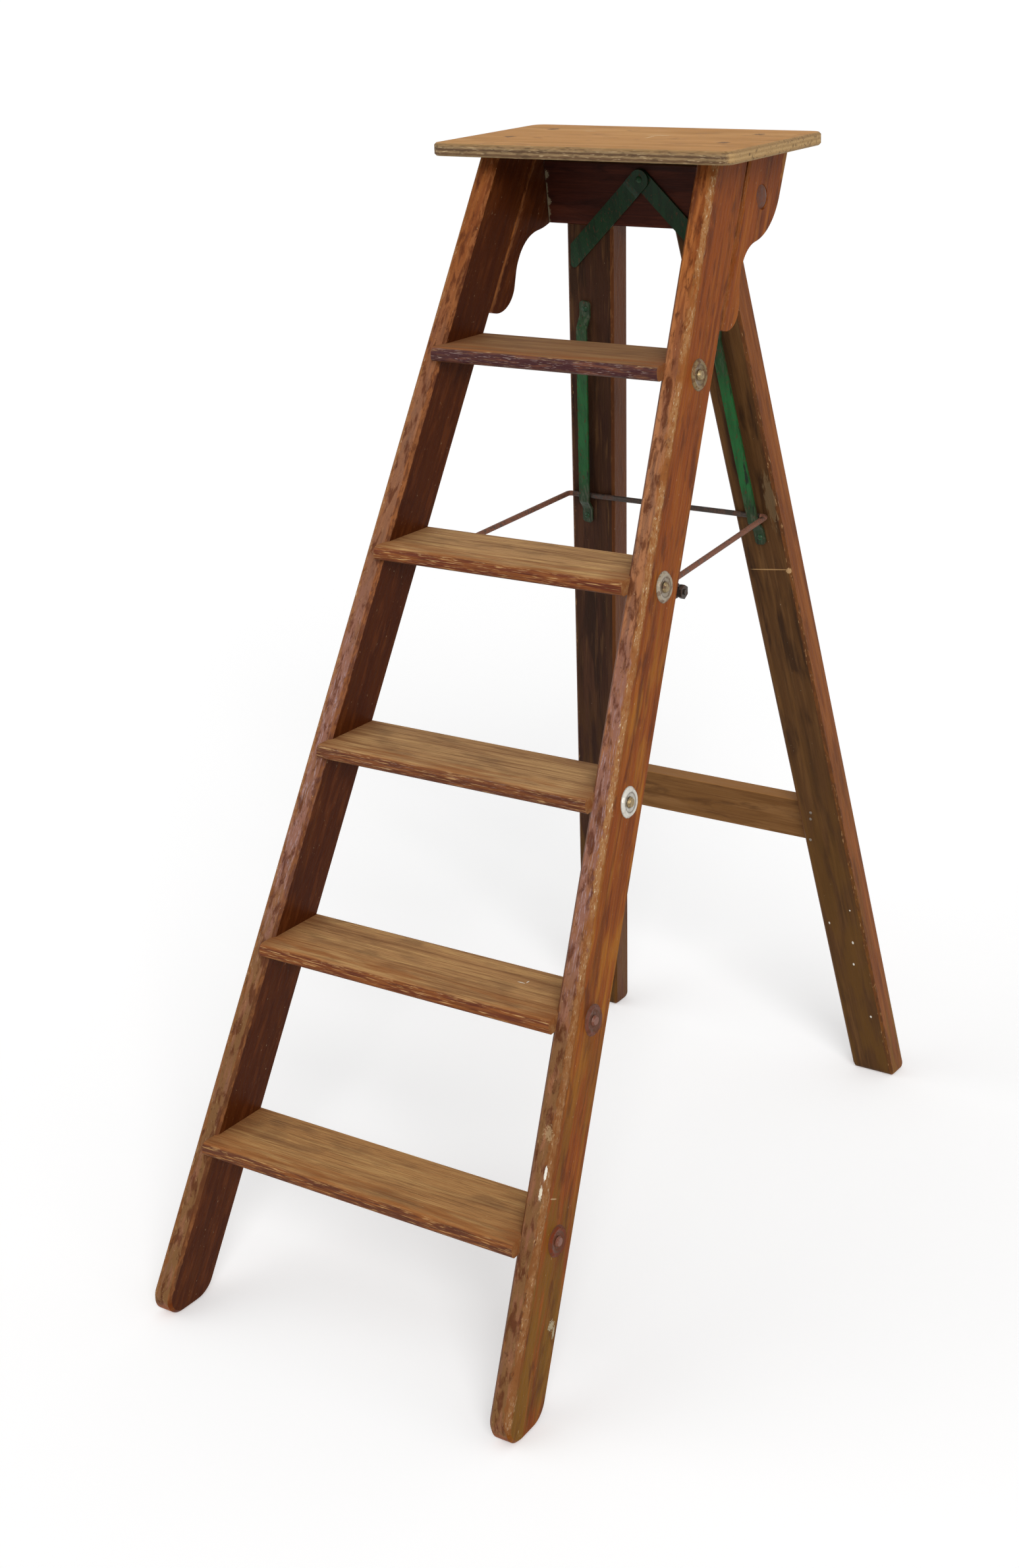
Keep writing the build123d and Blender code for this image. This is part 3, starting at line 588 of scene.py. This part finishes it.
def finish_piece(name, mesh_data, material, body):
    """Makes a smooth object of a mesh that is laid out at rest and lets it ride on its body."""
    mesh = bpy.data.meshes.new(name)
    mesh_data.to_mesh(mesh)
    mesh_data.free()
    mesh.materials.append(material)
    piece = bpy.data.objects.new(name, mesh)
    bpy.context.scene.collection.objects.link(piece)
    for polygon in mesh.polygons:
        polygon.use_smooth = True
    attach(piece, body)


def join(target, part, matrix):
    """Adds the part to the target, moved by the matrix. Cutting leaves the last bit of a corner
    and the order of corners and faces to chance, so the corners are rounded to 10 nanometres and
    all are added in the order of their places."""
    for corner in part.verts:
        corner.co = [round(value, 8) for value in corner.co]
    part.transform(matrix)
    corners = sorted(part.verts, key=lambda corner: corner.co[:])
    rank = {corner: number for number, corner in enumerate(corners)}
    added = [target.verts.new(corner.co) for corner in corners]
    faces = []
    for face in part.faces:
        ranks = [rank[corner] for corner in face.verts]
        first = ranks.index(min(ranks))
        faces.append(ranks[first:] + ranks[:first])
    for ranks in sorted(faces):
        target.faces.new([added[number] for number in ranks])
    part.free()


def head_place(place, direction, turn=0.0):
    """Matrix that stands a head on place, facing direction, with its slot turned about it."""
    facing = direction.to_track_quat("Z", "Y").to_matrix().to_4x4()
    return Matrix.Translation(place) @ facing @ Matrix.Rotation(turn, 4, "Z")


def add_slotted_head(target, matrix, diameter, height, slot):
    """Domed screw head with a straight slot between its two halves, on a short round base."""
    ball = (diameter ** 2 / 4 + height ** 2) / (2 * height)
    for side in (-1, 1):
        part = bmesh.new()
        bmesh.ops.create_uvsphere(part, u_segments=48, v_segments=32, radius=ball,
                                  matrix=Matrix.Translation((0, 0, height - ball)))
        for spot, normal in (((0, 0, 0), (0, 0, -1)), ((0, side * slot / 2, 0), (0, -side, 0))):
            geometry = part.verts[:] + part.edges[:] + part.faces[:]
            cut = bmesh.ops.bisect_plane(part, geom=geometry, plane_co=spot, plane_no=normal,
                                         clear_outer=True, dist=1e-7)
            rim = [item for item in cut["geom_cut"] if isinstance(item, bmesh.types.BMEdge)]
            bmesh.ops.edgenet_fill(part, edges=rim)
        join(target, part, matrix)
    base = bmesh.new()
    bmesh.ops.create_cone(base, cap_ends=True, segments=32, radius1=diameter * 0.46,
                          radius2=diameter * 0.46, depth=height * 0.3)
    join(target, base, matrix @ Matrix.Translation((0, 0, height * 0.15)))


def add_nail_head(target, matrix, diameter):
    """Flat round nail head with a hammered, slightly domed face."""
    part = bmesh.new()
    loops = []
    for radius, height in NAIL_RINGS:
        loops.append([part.verts.new((math.cos(k * math.tau / NAIL_SIDES) * radius * diameter,
                                      math.sin(k * math.tau / NAIL_SIDES) * radius * diameter,
                                      height * diameter)) for k in range(NAIL_SIDES)])
    for low, high in zip(loops, loops[1:]):
        for k in range(NAIL_SIDES):
            after = (k + 1) % NAIL_SIDES
            part.faces.new((low[k], low[after], high[after], high[k]))
    part.faces.new(loops[-1])
    part.faces.new(reversed(loops[0]))
    join(target, part, matrix)


# ------------------------------------------------------------------ settings
class LadderSettings(bpy.types.PropertyGroup):
    """Sizes, colours and light levels of the step ladder's look"""
    screw_diameter: bpy.props.FloatProperty(
        name="Screw Head", description="Diameter of the round screw heads", default=9.0 * MM,
        unit="LENGTH", subtype="DISTANCE")
    screw_height: bpy.props.FloatProperty(
        name="Screw Height", description="Height of the round screw heads", default=2.6 * MM,
        unit="LENGTH", subtype="DISTANCE")
    screw_slot: bpy.props.FloatProperty(
        name="Screw Slot", description="Width of the screw slots", default=1.3 * MM,
        unit="LENGTH", subtype="DISTANCE")
    nail_diameter: bpy.props.FloatProperty(
        name="Nail Head", description="Diameter of the nail heads in the rear legs",
        default=4.5 * MM, unit="LENGTH", subtype="DISTANCE")
    varnish: bpy.props.FloatVectorProperty(
        name="Varnish", description="Main colour of the varnished stiles and cheeks",
        size=4, subtype="COLOR", min=0.0, max=1.0, default=linear("#874314"))
    plywood: bpy.props.FloatVectorProperty(
        name="Plywood", description="Main colour of the platform's oiled top",
        size=4, subtype="COLOR", min=0.0, max=1.0, default=linear("#BC8648"))
    enamel: bpy.props.FloatVectorProperty(
        name="Enamel", description="Main colour of the green paint on the stay's guides",
        size=4, subtype="COLOR", min=0.0, max=1.0, default=linear("#1B582A"))
    key_light: bpy.props.FloatProperty(
        name="Key Light",
        description="Strength of the soft light at the right, in watts per square metre",
        default=1.7)
    fill_light: bpy.props.FloatProperty(
        name="Fill Light",
        description="Strength of the softer light at the left, in watts per square metre",
        default=0.5)
    sky: bpy.props.FloatProperty(
        name="Sky", description="Strength of the even studio surround", default=0.5,
        subtype="FACTOR")
    floor_lift: bpy.props.FloatProperty(
        name="Floor Lift", description="Glow that takes the floor's own light level up to white",
        default=0.25, subtype="FACTOR")


class LADDER_OT_timber(bpy.types.Operator):
    """Dresses the stiles, cheeks, treads, platform, legs, board and rail"""
    bl_idname = "ladder.timber"
    bl_label = "Dress Timber"

    def execute(self, context):
        dress("right_stile", varnished_stile(
            "Varnished_right_stile", "right_stile", 1, extra=STILE_CHIPS))
        dress("left_stile", varnished_stile(
            "Varnished_left_stile", "left_stile", -1, ochre=0.2, wear=0.7, inner_band=True))
        for name, side in (("right_cheek", 1), ("left_cheek", -1)):
            dress(name, varnished_stile(
                f"Varnished_{name}", name, side, ochre=0.5, wear=0.15, start=CHEEK_START))
        for number, look in enumerate(TREADS, start=1):
            node = f"tread_{number}"
            dress(node, worn_tread(f"Trodden_{node}", node, number * 7.7, *look))
        dress("platform", plywood())
        dress("right_rear_leg", varnished_leg("Varnished_right_leg", "right_rear_leg", 1,
                                              ("#3E2814", "#50341B", "#644424"), LEG_CHIPS))
        # the left leg's darker tones than the right's are painted shade: same varnish, more shadow
        dress("left_rear_leg", varnished_leg("Varnished_left_leg", "left_rear_leg", -1,
                                             ("#28160D", "#382015", "#4A2E1E")))
        # the top board's near-black tones: partly dark varnish, partly painted shade under the
        # platform
        dress("top_board", varnished_board(
            "Varnished_top_board", "top_board", ("#2A120C", "#3E1C13", "#54291B"),
            stain="#200E0A", lit_top="#543A26", filler=0.75, extra=BOARD_SMEARS))
        dress("rear_rail", varnished_board(
            "Varnished_rear_rail", "rear_rail", ("#583618", "#704C28", "#845E38"),
            stain="#4C3018", lit_top="#966A3E"))
        return {"FINISHED"}


class LADDER_OT_iron(bpy.types.Operator):
    """Dresses the braces, guides, stay, eyes, bolts, rods and cup washers"""
    bl_idname = "ladder.iron"
    bl_label = "Dress Iron"

    def execute(self, context):
        # the braces' darker green is painted shade beneath the platform
        for name in ("left_brace", "right_brace"):
            dress(name, green_enamel(
                f"Shaded_enamel_{name}", name, ("#15321A", "#112814"), stain=0.3))
        for name in ("left_guide", "right_guide"):
            dress(name, green_enamel(
                f"Bright_enamel_{name}", name, (context.scene.ladder.enamel[:], "#174A22"),
                stain=0.9, grime=((0, 1), (50, 0.9), (90, 0), (210, 0), (270, 0.7), (330, 1))))
        rusty = old_iron("Rusted_stay_iron", "#5A4438", "#7E4E38",
                         amount=0.75, metallic=0.5, rough=0.45, seed=1.0)
        for name in ("left_stay_arm", "right_stay_arm"):
            dress(name, rusty)
        dark = old_iron("Blackened_iron", "#3E3630", "#4A3022",
                        amount=0.5, metallic=0.6, rough=0.42, seed=2.0)
        for name in ("stay_crossbar", "stay_eyes", "stay_end_pins", "stay_nuts"):
            dress(name, dark)
        dress("pivot_bolts", old_iron("Browned_bolts", "#5A2E18", "#6A381C",
                                      amount=0.6, metallic=0.1, rough=0.55, seed=4.0))
        dress("tie_rods", old_iron("Peened_rods", "#A08A62", "#6E5036", amount=0.45, metallic=0.8,
                                   rough=0.4, seed=6.0, low_paint="#6E3420"))
        dress("cup_washers", cup_metal())
        return {"FINISHED"}


class LADDER_OT_screws(bpy.types.Operator):
    """Adds the small screws and nails of platform, braces, guides and rail"""
    bl_idname = "ladder.screws"
    bl_label = "Add Screws and Nails"

    def execute(self, context):
        settings = context.scene.ladder
        head = (settings.screw_diameter, settings.screw_height, settings.screw_slot)
        steel = old_iron("Worn_screw_steel", "#8A8074", "#5A3A28",
                         amount=0.45, metallic=0.8, rough=0.4, seed=8.0)
        green = green_enamel("Enamelled_screws", None, ("#24482C", "#1C3A22"), stain=0.7)
        low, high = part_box("platform")
        sunk = bmesh.new()
        for node in ("left_stile", "right_stile", "left_cheek", "right_cheek"):
            tops = [p for p in cad_points(node) if abs(p.z - low.z) < ON_LEVEL]
            middle = sum(tops, Vector()) / len(tops)
            place = Vector((middle.x, middle.y, high.z - settings.screw_height))
            slot_turn = middle.x * 9  # each slot points its own way
            add_slotted_head(sunk, head_place(place, Vector((0, 0, 1)), slot_turn), *head)
        finish_piece("platform_screws", sunk, steel, "front_frame")

        out = LEG_BACK * -1
        guides = bmesh.new()
        for node in ("left_guide", "right_guide"):
            spots = [on_leg(p) for p in cad_points(node)]
            for end, inward in ((min(p.z for p in spots), GUIDE_SCREW_INSET),
                                (max(p.z for p in spots), -GUIDE_SCREW_INSET)):
                foot = [p for p in spots if abs(p.z - end) < GUIDE_FOOT]
                across = (min(p.x for p in foot) + max(p.x for p in foot)) / 2
                place = from_leg(across, min(p.y for p in foot), end + inward)
                add_slotted_head(guides, head_place(place, out, end * 7), *head)
        finish_piece("guide_screws", guides, green, "rear_frame")

        braces = bmesh.new()
        spots = [on_leg(p) for p in cad_points("left_brace")]
        place = from_leg(BRACE_SCREW_ACROSS, min(p.y for p in spots),
                         max(p.z for p in spots) - BRACE_SCREW_DOWN)
        add_slotted_head(braces, head_place(place, out, 0.6), *head)
        finish_piece("brace_screws", braces, green, "rear_frame")

        nails = bmesh.new()
        points = [on_leg(p) for p in cad_points("right_rear_leg")]
        front = min(p.y for p in points)
        level = on_leg(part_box("rear_rail")[1]).z
        for side in (-1, 1):
            for across, down in RAIL_NAILS:
                place = from_leg(side * across * MM, front, level - down * MM)
                add_nail_head(nails, head_place(place, out), settings.nail_diameter)
        finish_piece("rail_nails", nails, steel, "rear_frame")
        return {"FINISHED"}


class LADDER_OT_studio(bpy.types.Operator):
    """Adds the white floor, the soft lights and the camera"""
    bl_idname = "ladder.studio"
    bl_label = "Add Studio"

    def execute(self, context):
        settings = context.scene.ladder
        scene = context.scene
        floor_mesh = bmesh.new()
        bmesh.ops.create_grid(floor_mesh, x_segments=1, y_segments=1, size=FLOOR_SIZE)
        mesh = bpy.data.meshes.new("floor")
        floor_mesh.to_mesh(mesh)
        floor_mesh.free()
        material, tree = new_material("Matt_white_floor")
        paper = add(tree, "ShaderNodeBsdfDiffuse", {"Color": "#F6F6F6"})
        glow = add(tree, "ShaderNodeEmission", {"Color": "#FFFFFF", "Strength": seen_share(
            tree, 0.0, settings.floor_lift)})
        both = add(tree, "ShaderNodeAddShader", {0: paper, 1: glow})
        add(tree, "ShaderNodeOutputMaterial", {"Surface": both})
        mesh.materials.append(material)
        floor = bpy.data.objects.new("floor", mesh)
        scene.collection.objects.link(floor)

        world = bpy.data.worlds.new("Studio")
        world.use_nodes = True
        scene.world = world
        tree = world.node_tree
        tree.nodes.clear()
        back = add(tree, "ShaderNodeBackground", {"Color": "#FFFFFF", "Strength": seen_share(
            tree, settings.sky, 1.0)})
        add(tree, "ShaderNodeOutputWorld", {"Surface": back})

        for name, source, width, strength in (
                ("key", KEY_FROM, KEY_WIDTH, settings.key_light),
                ("fill", FILL_FROM, FILL_WIDTH, settings.fill_light)):
            light = bpy.data.lights.new(name, "SUN")
            light.angle = math.radians(width)
            light.energy = strength
            lamp = bpy.data.objects.new(name, light)
            lamp.location = source
            lamp.rotation_mode = "QUATERNION"
            lamp.rotation_quaternion = Vector(source).to_track_quat("Z", "Y")
            scene.collection.objects.link(lamp)

        data = bpy.data.cameras.new("camera")
        data.lens = CAMERA_LENS
        data.sensor_width = CAMERA_SENSOR
        data.shift_x, data.shift_y = CAMERA_SHIFT
        data.clip_end = CAMERA_REACH
        camera = bpy.data.objects.new("camera", data)
        yaw, pitch, roll = (math.radians(angle) for angle in CAMERA_TURN)
        ahead = Vector((-math.sin(yaw) * math.cos(pitch), math.cos(yaw) * math.cos(pitch),
                        -math.sin(pitch)))
        level = Vector((math.cos(yaw), math.sin(yaw), 0))
        above = level.cross(ahead)
        right = level * math.cos(roll) + above * math.sin(roll)
        up = above * math.cos(roll) - level * math.sin(roll)
        turn = Matrix((right, up, -ahead)).transposed()
        camera.matrix_world = Matrix.Translation(PIVOT + CAMERA_FROM_PIVOT) @ turn.to_4x4()
        scene.collection.objects.link(camera)
        scene.camera = camera
        scene.view_settings.view_transform = "Standard"
        return {"FINISHED"}


class LADDER_PT_panel(bpy.types.Panel):
    """Sidebar panel of the step ladder's look"""
    bl_idname = "LADDER_PT_panel"
    bl_label = "Step Ladder"
    bl_space_type = "VIEW_3D"
    bl_region_type = "UI"
    bl_category = "Step Ladder"

    def draw(self, context):
        settings = context.scene.ladder
        for key in LadderSettings.__annotations__:
            self.layout.prop(settings, key)
        for operator in OPERATORS:
            self.layout.operator(operator.bl_idname)


OPERATORS = (LADDER_OT_timber, LADDER_OT_iron, LADDER_OT_screws, LADDER_OT_studio)
CLASSES = (LadderSettings, *OPERATORS, LADDER_PT_panel)


def register():
    for item in CLASSES:
        bpy.utils.register_class(item)
    bpy.types.Scene.ladder = bpy.props.PointerProperty(type=LadderSettings)


def unregister():
    del bpy.types.Scene.ladder
    for item in reversed(CLASSES):
        bpy.utils.unregister_class(item)


def main():
    register()
    bpy.ops.ladder.timber()
    bpy.ops.ladder.iron()
    bpy.ops.ladder.screws()
    bpy.ops.ladder.studio()


if __name__ == "__main__":
    main()
